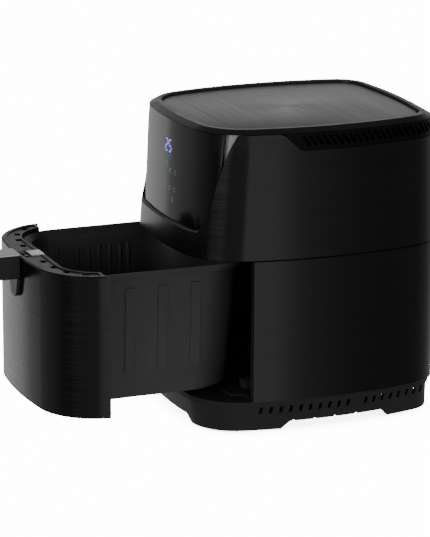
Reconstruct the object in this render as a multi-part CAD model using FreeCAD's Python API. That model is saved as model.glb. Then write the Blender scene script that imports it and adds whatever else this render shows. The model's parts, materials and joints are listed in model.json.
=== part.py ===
import FreeCAD, Part
import math
import os

# Basket air fryer, millimetres, +Z up, drawer front towards -Y.
# The model is drawn round the middle of the body's footprint with the drawer
# shut; the drawer's pieces are then moved out by REST_TRAVEL and everything is
# shifted along Y so that the origin is the bottom centre of the whole object.

V = FreeCAD.Vector

# ---- driving dimensions ---------------------------------------------------

HALF_WIDTH = 124.0          # widest half width of the body
FRONT_Y = -142.0            # foremost point of the body's outline
REAR_Y = 142.0              # rearmost point of the body's outline
HEIGHT = 320.0              # floor to the top of the ring
FLOOR_GAP = 2.0             # thickness of the rubber foot pads under the base
BASE_TOP = 36.0             # top of the base tray
SEAM_Z = 186.0              # seam between the drawer band and the head
VENT_LOW_Z = 298.0          # lower edge of the vent band
RING_LOW_Z = 315.5          # lower edge of the top ring
SHEET = 1.2                 # thickness of the steel wraps
SPLIT_Y = -81.0             # where the drawer front meets the lower wrap
REST_TRAVEL = 154.0         # how far the drawer stands out at rest

RIM_HALF = 97.0             # pot flange, half width
POT_FRONT = -116.0
POT_REAR = 82.0
POT_RIM_Z = 182.0
POT_STEP_Z = 176.0          # where the flange's slope meets the pot's wall
POT_FLOOR_Z = 48.5
POT_WALL = 1.5
POT_CORNER = 44.0           # corner radius of the flange
POT_SIDE_IN = 5.0           # wall's inset from the flange at the sides and rear
POT_FRONT_IN = 11.5         # the same at the front
POT_DRAFT = 5.0

CHAMBER_Y = -18.0           # axis of the fan, over the middle of the pot
LINER_HALF = 103.0
HANDLE_HALF = 14.0
HANDLE_LOW_Z = 163.5
HANDLE_TOP_Z = 189.5
HANDLE_REACH = 62.0         # how far the handle stands out of the drawer front
INLET_X = 72.0              # lead inlet in the back of the lower wrap
INLET_Z = 62.0
PROBE_OUT = 55.0            # temperature probe's place off the fan axis, along X and Y

HOUSING = {}
DRAWER = {}
CRISPER = {}
FAN = {}
SWITCH = {}

# ---- outlines -------------------------------------------------------------

LOWER = dict(half=HALF_WIDTH, front=FRONT_Y, rear=REAR_Y, r_front=460.0, r_side=430.0,
             r_rear=600.0, c_front=62.0, c_rear=46.0, side_y=8.0)


def inset(plan, depth):
    """The same outline drawn a distance further in."""
    out = dict(plan)
    out["half"] = plan["half"] - depth
    out["front"] = plan["front"] + depth
    out["rear"] = plan["rear"] - depth
    for key in ("r_front", "r_side", "r_rear", "c_front", "c_rear"):
        out[key] = plan[key] - depth
    return out


def leaned(side, front):
    """The body's outline, further in by side all round and by front at the front."""
    out = inset(LOWER, side)
    out["front"] = FRONT_Y + front
    return out


SHOULDER = leaned(3.0, 9.0)
TOP = leaned(5.5, 10.8)


def corner_centre(centre_a, reach_a, centre_b, reach_b):
    """Right-hand meeting point of two circles."""
    dx = centre_b[0] - centre_a[0]
    dy = centre_b[1] - centre_a[1]
    gap = math.hypot(dx, dy)
    along = (reach_a ** 2 - reach_b ** 2 + gap ** 2) / (2 * gap)
    side = math.sqrt(reach_a ** 2 - along ** 2)
    ux, uy = dx / gap, dy / gap
    mid = (centre_a[0] + ux * along, centre_a[1] + uy * along)
    one = (mid[0] - uy * side, mid[1] + ux * side)
    two = (mid[0] + uy * side, mid[1] - ux * side)
    return one if one[0] > two[0] else two


def arcs_of(plan):
    """Right half of an outline, front to rear: centre, radius, start and end angle."""
    front = (0.0, plan["front"] + plan["r_front"])
    side = (plan["half"] - plan["r_side"], plan["side_y"])
    rear = (0.0, plan["rear"] - plan["r_rear"])
    near = corner_centre(front, plan["r_front"] - plan["c_front"],
                         side, plan["r_side"] - plan["c_front"])
    far = corner_centre(rear, plan["r_rear"] - plan["c_rear"],
                        side, plan["r_side"] - plan["c_rear"])

    def heading(a, b):
        return math.atan2(b[1] - a[1], b[0] - a[0])

    t1, t2 = heading(front, near), heading(side, near)
    t3, t4 = heading(side, far), heading(rear, far)
    return [(front, plan["r_front"], -math.pi / 2, t1), (near, plan["c_front"], t1, t2),
            (side, plan["r_side"], t2, t3), (far, plan["c_rear"], t3, t4),
            (rear, plan["r_rear"], t4, math.pi / 2)]


def on_arc(arc, share):
    """A point and outward direction at a share of the way along an arc."""
    (cx, cy), radius, start, end = arc
    turn = start + (end - start) * share
    return (cx + radius * math.cos(turn), cy + radius * math.sin(turn)), turn


def outline(plan, z):
    """Closed wire of eight tangent arcs at height z."""
    right = arcs_of(plan)

    def point(arc, share, flip=1.0):
        (x, y), _ = on_arc(arc, share)
        return V(flip * x, y, z)

    front, near, side, far, rear = right
    edges = [Part.Arc(point(front, 1, -1), point(front, 0), point(front, 1))]
    edges += [Part.Arc(point(a, 0), point(a, 0.5), point(a, 1)) for a in (near, side, far)]
    edges += [Part.Arc(point(rear, 0), point(rear, 1), point(rear, 0, -1))]
    edges += [Part.Arc(point(a, 1, -1), point(a, 0.5, -1), point(a, 0, -1)) for a in (far, side, near)]
    return Part.Wire([edge.toShape() for edge in edges])


def slab(plan, low, high):
    """Upright solid of an outline between two heights."""
    return Part.Face(outline(plan, low)).extrude(V(0, 0, high - low))


def loft(*levels):
    """Ruled solid through (outline, height) pairs."""
    return Part.makeLoft([outline(plan, z) for plan, z in levels], True, True)


def box(x0, x1, y0, y1, z0, z1):
    return Part.makeBox(x1 - x0, y1 - y0, z1 - z0, V(x0, y0, z0))


def rod(x, y, z0, z1, radius):
    return Part.makeCylinder(radius, z1 - z0, V(x, y, z0), V(0, 0, 1))


def polygon_prism(points, origin_y, depth):
    """A flat polygon of (x, z) points, carried along +Y by depth."""
    wire = Part.makePolygon([V(x, origin_y, z) for x, z in points + points[:1]])
    return Part.Face(wire).extrude(V(0, depth, 0))


def rounded(x0, x1, y0, y1, radius, z, rear_radius=None):
    """Wire of a rectangle with round corners at height z; the rear pair may differ."""
    rear = rear_radius or radius
    bow = 1 - math.sqrt(0.5)
    near, far = radius * bow, rear * bow
    edges = []

    def line(a, b):
        edges.append(Part.makeLine(V(a[0], a[1], z), V(b[0], b[1], z)))

    def arc(a, m, b):
        edges.append(Part.Arc(V(a[0], a[1], z), V(m[0], m[1], z), V(b[0], b[1], z)).toShape())

    line((x0 + radius, y0), (x1 - radius, y0))
    arc((x1 - radius, y0), (x1 - near, y0 + near), (x1, y0 + radius))
    line((x1, y0 + radius), (x1, y1 - rear))
    arc((x1, y1 - rear), (x1 - far, y1 - far), (x1 - rear, y1))
    line((x1 - rear, y1), (x0 + rear, y1))
    arc((x0 + rear, y1), (x0 + far, y1 - far), (x0, y1 - rear))
    line((x0, y1 - rear), (x0, y0 + radius))
    arc((x0, y0 + radius), (x0 + near, y0 + near), (x0 + radius, y0))
    return Part.Wire(edges)


def rounded_block(x0, x1, y0, y1, radius, z0, z1, rear_radius=None):
    return Part.Face(rounded(x0, x1, y0, y1, radius, z0, rear_radius)).extrude(V(0, 0, z1 - z0))


def group(solids):
    return Part.makeCompound(solids)


def mirrored(shape):
    return shape.mirror(V(0, 0, 0), V(1, 0, 0))


# ---- base -----------------------------------------------------------------

FOOT_LIFT = 10.5            # underside of the skirt between the feet
FLANGE_IN = 3.0             # inset of the flange tier under the wraps
SKIRT_IN = 5.0
FOOT_IN = 13.0              # inset of the feet at the floor
FLANGE_LOW = 30.5
TRAY_WALL = 2.6
SLOT_Z = 21.5
SLOT_TALL = 7.5
SLOT_WIDE = 3.6
SLOT_ROWS = ((-71.0, 10, 10.6), (45.0, 9, 10.0))     # first slot, count and pitch of each row


def base_plan(side, front, rear):
    """Outline of one level of the base, by its insets from the body's outline."""
    plan = inset(LOWER, side)
    plan["front"] = FRONT_Y + front
    plan["rear"] = REAR_Y - rear
    return plan


FLANGE = base_plan(FLANGE_IN, FLANGE_IN + 2.5, FLANGE_IN)
SKIRT = base_plan(SKIRT_IN, SKIRT_IN + 2.0, SKIRT_IN)
FOOT = base_plan(FOOT_IN, FOOT_IN, 4.0)


def skirt_slots():
    """Two rows of upright slots through each side of the skirt."""
    cuts = []
    for start, count, pitch in SLOT_ROWS:
        for i in range(count):
            slot = box(80, 130, -SLOT_WIDE / 2, SLOT_WIDE / 2, SLOT_Z, SLOT_Z + SLOT_TALL)
            slot.rotate(V(0, 0, SLOT_Z), V(1, 0, 0), -8)
            slot.translate(V(0, start + i * pitch, 0))
            cuts.append(slot)
    return group(cuts + [mirrored(cut) for cut in cuts])


def foot_gaps():
    """Raised spans between the feet, with sloping ends, on all four sides."""
    side = Part.Face(Part.makePolygon([V(-140, -50, -1), V(-140, -38, FOOT_LIFT), V(-140, 66, FOOT_LIFT),
                                       V(-140, 78, -1), V(-140, -50, -1)])).extrude(V(280, 0, 0))
    ends = polygon_prism([(-58, -1), (-48, FOOT_LIFT), (48, FOOT_LIFT), (58, -1)], -160, 320)
    notches = [box(-140, 140, y - 1.6, y + 1.6, 0, FOOT_LIFT + 1.4) for y in (-34.0, -11.0, 12.0, 36.0)]
    return side.fuse([ends] + notches)


def base_tray():
    """Black moulded tray: a flange tier, an inset skirt and four feet."""
    flange = slab(FLANGE, FLANGE_LOW, BASE_TOP)
    skirt = loft((FOOT, FLOOR_GAP), (SKIRT, FLANGE_LOW))
    body = skirt.fuse(flange)
    hollow = loft((inset(FOOT, TRAY_WALL), -1.0), (inset(SKIRT, 1.6 + TRAY_WALL), BASE_TOP - TRAY_WALL))
    pockets = []
    for sx in (-1, 1):
        for y in (-92.0, 96.0):
            pockets.append(rod(sx * 76, y, FLOOR_GAP, BASE_TOP - 1.6, 12.0))
    body = body.cut(hollow).fuse(pockets)
    body = body.cut(foot_gaps().fuse(skirt_slots()))
    return body.removeSplitter()


def bottom_cover():
    """Plate that closes the tray from below, with rows of vent slots."""
    plate = slab(inset(LOWER, FOOT_IN + TRAY_WALL - 1.0), FOOT_LIFT + 1.5, FOOT_LIFT + 3.5)
    cuts = []
    for row in range(3):
        for i in range(9):
            cuts.append(box(-44 + i * 11, -40 + i * 11, -30 + row * 34, -6 + row * 34, 0, 30))
    for sx in (-1, 1):
        for y in (-92.0, 96.0):
            cuts.append(rod(sx * 76, y, 0, 30, 12.4))
    return plate.cut(group(cuts))


def foot_pads():
    pads = []
    for sx in (-1, 1):
        for y in (-92.0, 96.0):
            pads.append(rod(sx * 76, y, 0.0, FLOOR_GAP, 9.0))
    return group(pads)


def base_screws():
    screws = []
    for sx in (-1, 1):
        for y in (-60.0, 64.0):
            head = rod(sx * 60, y, FOOT_LIFT + 0.1, FOOT_LIFT + 1.5, 3.6)
            slot = box(sx * 60 - 3, sx * 60 + 3, y - 0.5, y + 0.5, FOOT_LIFT - 1, FOOT_LIFT + 0.8)
            screws.append(head.cut(slot))
    return group(screws)


# ---- drawer cavity --------------------------------------------------------


def lower_wrap():
    """Brushed sheet round both sides and the back of the drawer cavity."""
    shell = slab(LOWER, BASE_TOP + 0.3, SEAM_Z - 0.4).cut(slab(inset(LOWER, SHEET), 0, 300))
    shell = shell.common(box(-140, 140, SPLIT_Y, 150, 0, 300))
    inlet = Part.makeCylinder(9.0, 30, V(INLET_X, 120, INLET_Z), V(0, 1, 0))
    return shell.cut(inlet)


def front_frame():
    """Moulded frame that lines the front edges of the cavity."""
    frame = slab(inset(LOWER, SHEET + 0.1), BASE_TOP + 0.3, SEAM_Z - 0.6)
    frame = frame.common(box(-140, 140, SPLIT_Y + 1.0, SPLIT_Y + 9.0, 0, 300))
    opening = box(-LINER_HALF - 1.4, LINER_HALF + 1.4, -100, -60, 0, 300)
    return frame.cut(opening)


def cavity_liner():
    """Sheet-steel walls round the pot: two sides and a rear, open in front."""
    y1 = POT_REAR + 12
    outer = rounded_block(-LINER_HALF - 1, LINER_HALF + 1, SPLIT_Y - 60, y1 + 1, 46, BASE_TOP + 2.8, 188.6)
    inner = rounded_block(-LINER_HALF, LINER_HALF, SPLIT_Y - 60, y1, 45, 0, 300)
    walls = outer.cut(inner).common(box(-140, 140, SPLIT_Y + 1.5, 150, 0, 300))
    window = box(-12, 12, y1 - 4, y1 + 4, 92, 104)
    return walls.cut(window)


def cavity_floor():
    """Moulded floor of the cavity, with the raised lip the drawer passes over."""
    floor = slab(inset(LOWER, 3.0), BASE_TOP + 0.2, BASE_TOP + 2.6)
    reach = box(-LINER_HALF - 1, LINER_HALF + 1, SPLIT_Y - 14, POT_REAR + 14, 0, 60)
    floor = floor.common(reach)
    front_cut = slab(inset(LOWER, 24.0), 0, 60).fuse(box(-140, 140, SPLIT_Y, 150, 0, 60))
    return floor.common(front_cut)


def guide_rails():
    """Low rails that the pot slides along, one each side."""
    rails = []
    for sx in (-1, 1):
        rail = box(62, 76, SPLIT_Y + 6, POT_REAR - 10, BASE_TOP + 2.6, POT_FLOOR_Z - 0.5)
        rail = rail.cut(box(66, 72, SPLIT_Y + 10, POT_REAR - 14, BASE_TOP + 6, POT_FLOOR_Z))
        rails.append(rail if sx > 0 else mirrored(rail))
    return group(rails)


def drawer_catches():
    """Sprung side clips that hold the drawer shut."""
    clip = box(LINER_HALF - 2.6, LINER_HALF - 0.2, SPLIT_Y + 12, SPLIT_Y + 40, 108, 122)
    clip = clip.cut(box(LINER_HALF - 3, LINER_HALF - 1.2, SPLIT_Y + 15, SPLIT_Y + 37, 107, 123))
    return group([clip, mirrored(clip)])


def cord_inlet():
    """Moulded bush where the mains lead enters; the lead itself is left out."""
    face = rear_at(INLET_X)
    flange = Part.makeCylinder(12.0, 9.0, V(INLET_X, face - 6, INLET_Z), V(0, 1, 0))
    flange = flange.cut(slab(inset(LOWER, -0.2), 0, 200))
    barrel = Part.makeCylinder(8.7, 14.0, V(INLET_X, face - 12, INLET_Z), V(0, 1, 0))
    bore = Part.makeCylinder(4.2, 40, V(INLET_X, face - 20, INLET_Z), V(0, 1, 0))
    return flange.fuse(barrel).cut(bore)


def rear_at(x, depth=0.0):
    """Where the rear of the body's outline lies at a given x."""
    radius = LOWER["r_rear"]
    return REAR_Y - radius + math.sqrt(radius ** 2 - x ** 2) - depth


# ---- head -----------------------------------------------------------------

CUT_FOOT = 212.0            # lower edge of the panel opening in the upper wrap
CUT_HALF_LOW = 76.0
CUT_HALF_BEND = 89.0
CUT_BEND_Z = 226.0
CUT_HALF_TOP = 105.5
VENT_START_LOW = -33.0
VENT_START_TOP = -50.0
PANEL_IN_LOW = 4.8          # panel's inset from the head's form at the seam's height
PANEL_IN_HIGH = 0.9         # the same at the shoulder
PANEL_THICK = 2.6
PANEL_HALF_TOP = 95.5       # where the panel's upper ends stop short of the opening


def head_solid(depth=0.0):
    """The head's outer form, drawn a distance further in."""
    return loft((inset(LOWER, depth), SEAM_Z + 0.4), (inset(SHOULDER, depth), VENT_LOW_Z),
                (inset(TOP, depth), RING_LOW_Z))


def head_shell(outer, inner, low, high):
    """Wall between two depths of the head's form, between two heights."""
    wall = head_solid(outer).cut(head_solid(inner))
    return wall.common(box(-140, 140, -160, 160, low, high))


def panel_prism(grow):
    """Upside-down arch through which the control panel shows."""
    points = [(-CUT_HALF_LOW - grow, CUT_FOOT - grow), (CUT_HALF_LOW + grow, CUT_FOOT - grow),
              (CUT_HALF_BEND - 3 + grow, CUT_FOOT + 5 - grow / 2), (CUT_HALF_BEND + grow, CUT_BEND_Z),
              (CUT_HALF_TOP + grow, 322), (-CUT_HALF_TOP - grow, 322),
              (-CUT_HALF_BEND - grow, CUT_BEND_Z), (-CUT_HALF_BEND + 3 - grow, CUT_FOOT + 5 - grow / 2)]
    return polygon_prism(points, -160, 90)


def vent_zone(margin=0.0):
    """Everything behind the slanted front ends of the vent band."""
    low, top = VENT_LOW_Z - margin, 330.0
    lean = (VENT_START_TOP - VENT_START_LOW) / (RING_LOW_Z - VENT_LOW_Z)
    y_low = VENT_START_LOW - margin
    y_top = y_low + lean * (top - low)
    face = Part.Face(Part.makePolygon([V(-140, y_low, low), V(-140, y_top, top), V(-140, 160, top),
                                       V(-140, 160, low), V(-140, y_low, low)]))
    return face.extrude(V(280, 0, 0))


def upper_wrap():
    """Brushed sheet round the head, open for the panel and under the vent band."""
    shell = head_shell(0.0, SHEET, SEAM_Z, RING_LOW_Z + 1)
    shell = shell.cut(panel_prism(0.0)).cut(vent_zone())
    outlet = box(-52, 52, 100, 160, 222, 272)
    return shell.cut(outlet)


def panel_frame():
    """Moulded surround behind the wrap's cut-out, with the pocket for the panel."""
    frame = head_shell(SHEET + 0.15, 12.0, SEAM_Z + 6.4, RING_LOW_Z - 0.2)
    frame = frame.common(box(-140, 140, -150, -62, 0, 330))
    pocket = head_solid(0.0).cut(head_solid(7.6)).common(panel_prism(-1.0))
    ring_room = slab(inset(TOP, 8.4), RING_LOW_Z - 3.4, HEIGHT)
    return frame.cut(pocket.fuse(ring_room))


def panel_solid(depth=0.0):
    """The panel's own curved form: let in at its foot and flush with the ring at its top."""
    return loft((inset(LOWER, PANEL_IN_LOW + depth), SEAM_Z + 0.4),
                (inset(SHOULDER, PANEL_IN_HIGH + depth), VENT_LOW_Z),
                (inset(TOP, 0.3 + depth), RING_LOW_Z))


def control_panel():
    """Gloss touch panel, curved with the head and leaning back."""
    sheet = panel_solid().cut(panel_solid(PANEL_THICK))
    sheet = sheet.common(box(-140, 140, -160, 160, SEAM_Z, RING_LOW_Z - 0.3))
    sides = box(-PANEL_HALF_TOP, PANEL_HALF_TOP, -160, 90, SEAM_Z, HEIGHT)
    return sheet.common(panel_prism(-1.3)).common(sides)


def control_board():
    """Touch and display circuit board behind the panel frame."""
    board = box(-46, 46, -1.6, 0, -46, 46)
    board.rotate(V(0, 0, 0), V(1, 0, 0), -5)
    board.translate(V(0, FRONT_Y + 27.5, 258))
    return board


def display_module():
    """Block of lamps that lights the panel's figures."""
    block = box(-17, 25, -7.0, -1.8, 22, 40)
    block.rotate(V(0, 0, 0), V(1, 0, 0), -5)
    block.translate(V(0, FRONT_Y + 27.5, 258))
    return block


def touch_springs():
    """Small coil contacts under the touch marks, drawn as plain posts."""
    posts = []
    for row in range(4):
        for col in range(3):
            post = Part.makeCylinder(2.6, 4.6, V(-24 + col * 24, -6.6, -34 + row * 14), V(0, 1, 0))
            posts.append(post)
    springs = group(posts)
    springs.rotate(V(0, 0, 0), V(1, 0, 0), -5)
    springs.translate(V(0, FRONT_Y + 27.5, 258))
    return springs


def outline_walk(plan, spacing):
    """Evenly spaced points round an outline from front to rear, right side."""
    places = []
    carry = spacing / 2
    for arc in arcs_of(plan):
        length = arc[1] * abs(arc[3] - arc[2])
        while carry < length:
            places.append(on_arc(arc, carry / length))
            carry += spacing
        carry -= length
    return places


def vent_grille():
    """Band of slanted slots under the ring, round the sides and back."""
    depth = 1.4
    band = loft((inset(SHOULDER, depth), VENT_LOW_Z - 3), (inset(TOP, depth - 1.2), RING_LOW_Z))
    core = loft((inset(SHOULDER, depth + 2.6), VENT_LOW_Z - 4), (inset(TOP, depth + 1.4), RING_LOW_Z + 1))
    tuck = box(-140, 140, VENT_START_LOW, 160, VENT_LOW_Z - 3, VENT_LOW_Z + 0.4)
    band = band.cut(core).common(vent_zone(-0.3).fuse(tuck))
    cuts = []
    for (x, y), turn in outline_walk(SHOULDER, 7.2):
        if y < VENT_START_LOW + 6 or x < 6:
            continue
        slot = box(-6, 6, -1.7, 1.7, -6.2, 6.2)
        slot.rotate(V(0, 0, 0), V(1, 0, 0), 38)
        slot.rotate(V(0, 0, 0), V(0, 0, 1), math.degrees(turn))
        slot.translate(V(x, y, (VENT_LOW_Z + RING_LOW_Z) / 2 + 0.4))
        cuts.append(slot)
    return band.cut(group(cuts + [mirrored(cut) for cut in cuts]))


def rear_outlet():
    """Louvred exhaust cover in the back of the head."""
    cover = box(-51.6, 51.6, -4, 1.6, 222.4, 271.6)
    cuts = [box(-44, 44, -10, 10, 228 + i * 7, 231.6 + i * 7) for i in range(6)]
    cover = cover.cut(group(cuts))
    cover.translate(V(0, rear_at(51) - 2.6, 0))
    return cover


def top_ring():
    """Bevelled ring round the lid plate, with the ledge the plate rests on."""
    bevel = loft((TOP, RING_LOW_Z + 0.4), (inset(TOP, 7.0), HEIGHT))
    collar = slab(inset(TOP, 8.8), RING_LOW_Z - 3.0, HEIGHT - 2)
    pocket = slab(inset(TOP, 13.0), HEIGHT - 4.0, HEIGHT + 1)
    hole = slab(inset(TOP, 18.0), 290, HEIGHT + 1)
    return bevel.fuse(collar).cut(pocket.fuse(hole))


def ring_carrier():
    """Inner rim of the head that the ring clips onto."""
    rim = slab(inset(TOP, 6.0), VENT_LOW_Z + 4, RING_LOW_Z - 0.3)
    rim = rim.cut(slab(inset(TOP, 8.4), 290, HEIGHT))
    return rim.common(box(-140, 140, -56, 150, 0, 330))


def lid_plate():
    """Brushed plate let into the ring."""
    return slab(inset(TOP, 15.0), HEIGHT - 3.9, HEIGHT - 2.4)


def head_floor():
    """Partition between head and cavity; the heater box hangs through it."""
    plate = slab(inset(LOWER, SHEET + 0.6), 189.6, 192.0)
    return plate.cut(rod(0, CHAMBER_Y, 180, 200, 92.6))


# ---- heater, fan and motor ------------------------------------------------


def heater_box():
    """Round pan over the cavity that holds the heater and fan."""
    outer = rod(0, CHAMBER_Y, 189.0, 236.0, 92.0).cut(rod(0, CHAMBER_Y, 188.0, 234.8, 90.8))
    flange = rod(0, CHAMBER_Y, 192.2, 193.4, 99.0).cut(rod(0, CHAMBER_Y, 190, 196, 91.0))
    pan = outer.fuse(flange)
    holes = [rod(0, CHAMBER_Y, 230, 240, 6.0)]
    for x in (-10.0, 10.0):
        holes.append(rod(x, CHAMBER_Y + 76.0, 230, 240, 3.8))
    holes.append(rod(PROBE_OUT, CHAMBER_Y + PROBE_OUT, 230, 240, 2.6))
    return pan.cut(group(holes))


def heater_coil():
    """Flat sheathed element: rings joined into one run, with two upright ends."""
    z = 206.0
    tube = 3.2
    rings = []
    for radius in (44.0, 58.0, 72.0):
        rings.append(Part.makeTorus(radius, tube, V(0, CHAMBER_Y, z), V(0, 0, 1)))
    for radius in (44.0, 58.0):
        rings.append(Part.makeCylinder(tube, 14.0, V(0, CHAMBER_Y - radius, z), V(0, -1, 0)))
    for x in (-10.0, 10.0):
        y = CHAMBER_Y + 76.0
        inner_y = CHAMBER_Y + math.sqrt(72.0 ** 2 - x ** 2)
        rings.append(Part.makeCylinder(tube, y - inner_y, V(x, inner_y, z), V(0, 1, 0)))
        rings.append(rod(x, y, z, 244.0, tube))
        rings.append(Part.makeSphere(tube, V(x, y, z)))
    coil = rings[0].fuse(rings[1:])
    return coil


def heater_clips():
    """Bent straps that hang the element from the pan."""
    clips = []
    for turn in (30, 150, 270):
        strap = box(40, 76, -3, 3, 209.6, 210.8)
        hanger = box(70, 71.2, -3, 3, 210.8, 234.6)
        clip = strap.fuse(hanger)
        clip.rotate(V(0, 0, 0), V(0, 0, 1), turn)
        clip.translate(V(0, CHAMBER_Y, 0))
        clips.append(clip)
    return group(clips)


def fan_guard():
    """Stamped guard under the element: rings, spokes and a rolled rim."""
    z0, z1 = 196.0, 197.6
    parts = []
    for radius in (14, 26, 38, 50, 62, 74, 86):
        parts.append(rod(0, CHAMBER_Y, z0, z1, radius + 1.6).cut(rod(0, CHAMBER_Y, z0 - 1, z1 + 1, radius)))
    for turn in range(0, 180, 30):
        bar = box(-90.2, 90.2, -1.3, 1.3, z0, z1)
        bar.rotate(V(0, 0, 0), V(0, 0, 1), turn)
        bar.translate(V(0, CHAMBER_Y, 0))
        parts.append(bar)
    rim = rod(0, CHAMBER_Y, 194.4, z1, 90.4).cut(rod(0, CHAMBER_Y, 190, 200, 88.8))
    return parts[0].fuse(parts[1:] + [rim])


def radial_fan(radius, hub, z0, blade_height, count, plate_z):
    """Disc with a ring of upright blades on it."""
    disc = rod(0, CHAMBER_Y, plate_z, plate_z + 1.2, radius)
    parts = [rod(0, CHAMBER_Y, z0, z0 + blade_height, hub)]
    for i in range(count):
        blade = box(hub - 1.5, radius - 1, -0.6, 0.6, z0, z0 + blade_height)
        blade.rotate(V(hub, 0, 0), V(0, 0, 1), 18)
        blade.rotate(V(0, 0, 0), V(0, 0, 1), 360.0 * i / count)
        blade.translate(V(0, CHAMBER_Y, 0))
        parts.append(blade)
    fan = disc.fuse(parts)
    return fan.cut(rod(0, CHAMBER_Y, 150, 320, 3.0))


def motor_shaft():
    return rod(0, CHAMBER_Y, 212.0, 304.0, 3.0)


def fan_nut():
    """Left-hand nut that holds the fan on the shaft."""
    points = [V(5.5 * math.cos(math.radians(60 * i)), CHAMBER_Y + 5.5 * math.sin(math.radians(60 * i)), 211.5)
              for i in range(7)]
    nut = Part.Face(Part.makePolygon(points)).extrude(V(0, 0, 3.6))
    return nut.cut(rod(0, CHAMBER_Y, 212.0, 230, 3.0))


def motor():
    """Induction motor: laminated stack, windings and end bells with bearings."""
    stack = box(-31, 31, CHAMBER_Y - 31, CHAMBER_Y + 31, 254, 276)
    low = rod(0, CHAMBER_Y, 246, 254, 24)
    high = rod(0, CHAMBER_Y, 276, 284, 24)
    body = stack.fuse([low, high])
    return body.cut(rod(0, CHAMBER_Y, 240, 290, 3.06))


def motor_windings():
    coils = []
    for sx in (-1, 1):
        coil = box(sx * 33.5 - 2.0, sx * 33.5 + 2.0, CHAMBER_Y - 18, CHAMBER_Y + 18, 248, 282)
        coils.append(coil)
    return group(coils)


def motor_bracket():
    """Bridge that carries the motor above the heater box."""
    top = box(-50, 50, CHAMBER_Y - 16, CHAMBER_Y + 16, 244.0, 245.8)
    bridge = [top]
    for sx in (-1, 1):
        leg = box(48.2, 50, CHAMBER_Y - 16, CHAMBER_Y + 16, 236.2, 245.0)
        foot = box(48.2, 66, CHAMBER_Y - 16, CHAMBER_Y + 16, 236.2, 237.8)
        both = leg.fuse(foot)
        bridge.append(both if sx > 0 else mirrored(both))
    frame = bridge[0].fuse(bridge[1:])
    return frame.cut(rod(0, CHAMBER_Y, 230, 260, 8.0))


def motor_screws():
    screws = []
    for sx in (-1, 1):
        for sy in (-1, 1):
            screws.append(rod(sx * 58, CHAMBER_Y + sy * 10, 237.8, 240.4, 3.4))
    return group(screws)


def thermal_cutout():
    body = rod(-46, CHAMBER_Y + 44, 236.1, 244.0, 8.0)
    tabs = [box(-52 + 8 * i, -48 + 8 * i, CHAMBER_Y + 43.6, CHAMBER_Y + 44.4, 243.0, 252.0) for i in range(2)]
    return body.fuse(tabs)


def temperature_probe():
    """Sensor that dips through the heater box into the hot air."""
    tip = rod(PROBE_OUT, CHAMBER_Y + PROBE_OUT, 214, 236.2, 2.4)
    head = rod(PROBE_OUT, CHAMBER_Y + PROBE_OUT, 236.1, 241, 5.0)
    return tip.fuse(head)


def power_board():
    return box(-70, 40, 106.0, 107.6, 60, 150)


def board_parts():
    """Relay, transformer, capacitor and terminal block on the power board."""
    parts = [box(-62, -42, 107.6, 123, 70, 86), box(-30, -4, 107.6, 126, 100, 132),
             box(6, 30, 107.6, 120, 120, 134)]
    parts.append(Part.makeCylinder(7.0, 16.0, V(16, 107.6, 84), V(0, 1, 0)))
    return group(parts)


def board_posts():
    """Moulded posts between the cavity liner and the power board."""
    posts = []
    for x in (-64, 34):
        for z in (66, 144):
            posts.append(Part.makeCylinder(3.0, 10.6, V(x, POT_REAR + 13.2, z), V(0, 1, 0)))
    return group(posts)


# ---- safety switch --------------------------------------------------------

SWITCH_Y = POT_REAR + 13.0


def safety_switch():
    """Microswitch behind the cavity's rear wall."""
    body = box(-11, 11, SWITCH_Y + 0.6, SWITCH_Y + 9.6, 90, 106)
    bore = Part.makeCylinder(2.1, 8.0, V(0, SWITCH_Y, 98), V(0, 1, 0))
    return body.cut(bore)


def switch_plunger():
    """Sprung button that the shut drawer stops just short of."""
    pin = Part.makeCylinder(1.9, 22.4, V(0, SWITCH_Y - 18.7, 98), V(0, 1, 0))
    cap = Part.makeSphere(1.9, V(0, SWITCH_Y - 18.7, 98))
    return pin.fuse(cap)


# ---- drawer ---------------------------------------------------------------

DRAWER_LOW = BASE_TOP + 2.0
DRAWER_TOP = SEAM_Z - 0.6
TRIM_TOP = SEAM_Z
TRIM_LOW = SEAM_Z - 9.0
TRIM_IN = 1.35
TRIM_DEPTH = 24.0
TRIM_END = SPLIT_Y - 4.5
STRAP_HALF = 10.0
STRAP_Z = 181.0             # underside of the strap where it runs below the trim
STRAP_RISE_Y = -128.6       # where the strap comes up through the trim
SCREW_Y = -133.4


def front_band(near, far, low, high, y_end):
    """Part of the body's outline in front of y_end, between two insets."""
    shell = slab(inset(LOWER, near), low, high).cut(slab(inset(LOWER, far), low - 1, high + 1))
    return shell.common(box(-140, 140, -160, y_end, low - 1, high + 1))


def drawer_front():
    """Brushed sheet on the face of the drawer."""
    sheet = front_band(0.0, SHEET, DRAWER_LOW, DRAWER_TOP, SPLIT_Y - 0.5)
    return sheet.cut(strap_slot())


def drawer_backing():
    """Moulded carrier behind the sheet, hooked round its ends."""
    carrier = front_band(SHEET + 0.1, 4.2, DRAWER_LOW + 1, TRIM_LOW - 0.2, SPLIT_Y - 0.8)
    floor = front_band(4.0, 18.0, DRAWER_LOW + 6, DRAWER_LOW + 8.4, SPLIT_Y - 6)
    ribs = [box(x - 1, x + 1, FRONT_Y, POT_FRONT - 4, DRAWER_LOW + 6, TRIM_LOW - 4)
            for x in (-70, -28, 28, 70)]
    web = group(ribs).common(slab(inset(LOWER, 4.0), 0, 300))
    return carrier.fuse([floor] + web.Solids)


def strap_slot():
    """Where the handle's strap passes through the drawer's face."""
    return box(-STRAP_HALF - 0.4, STRAP_HALF + 0.4, FRONT_Y - 2, FRONT_Y + 5, STRAP_Z - 0.3, STRAP_Z + 1.6)


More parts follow.
